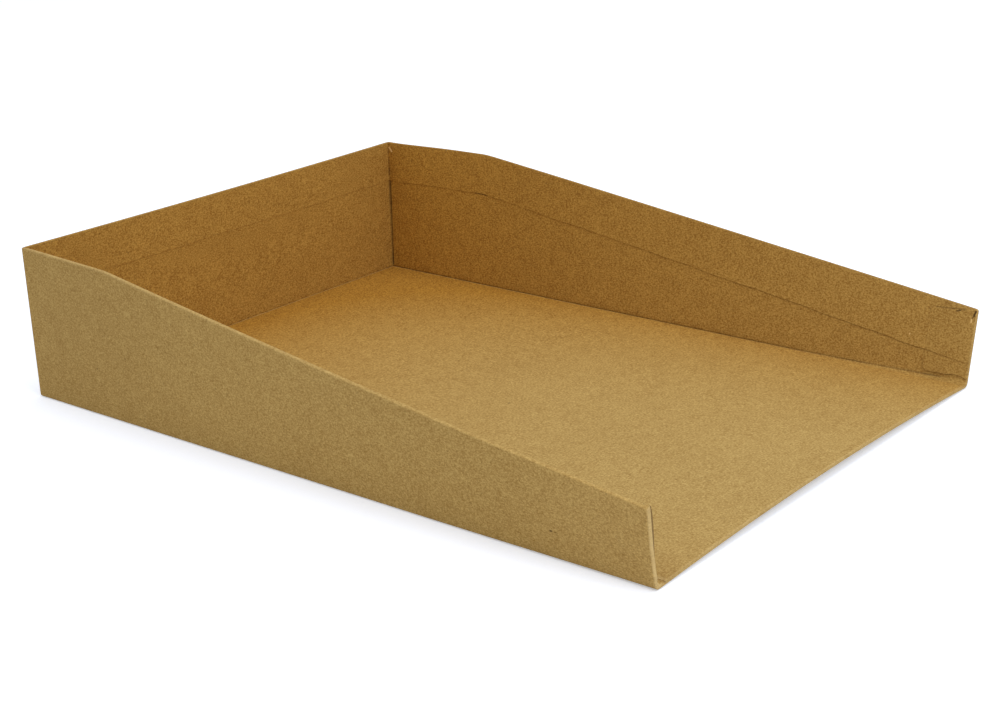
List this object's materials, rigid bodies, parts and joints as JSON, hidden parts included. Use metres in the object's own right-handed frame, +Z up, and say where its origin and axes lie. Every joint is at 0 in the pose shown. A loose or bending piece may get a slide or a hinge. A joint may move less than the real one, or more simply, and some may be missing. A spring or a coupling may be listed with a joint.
{
  "type": "letter tray",
  "caption": "Open-fronted desk tray for paper, folded from board and covered in kraft paper, with a level back wall and side walls that slope down to the front.",
  "frame": {"origin": "on the table, under the middle of the base", "axes": "+Z up, +Y to the back wall, so that the open front faces -Y, +X to the right seen from the front"},
  "size_m": [0.2564, 0.335, 0.0695],
  "materials": {
    "board": "matte",
    "kraft_cover": "matte"
  },
  "bodies": {
    "root": {"folded_board": "board", "cover_paper": "kraft_cover"}
  },
  "joints": []
}
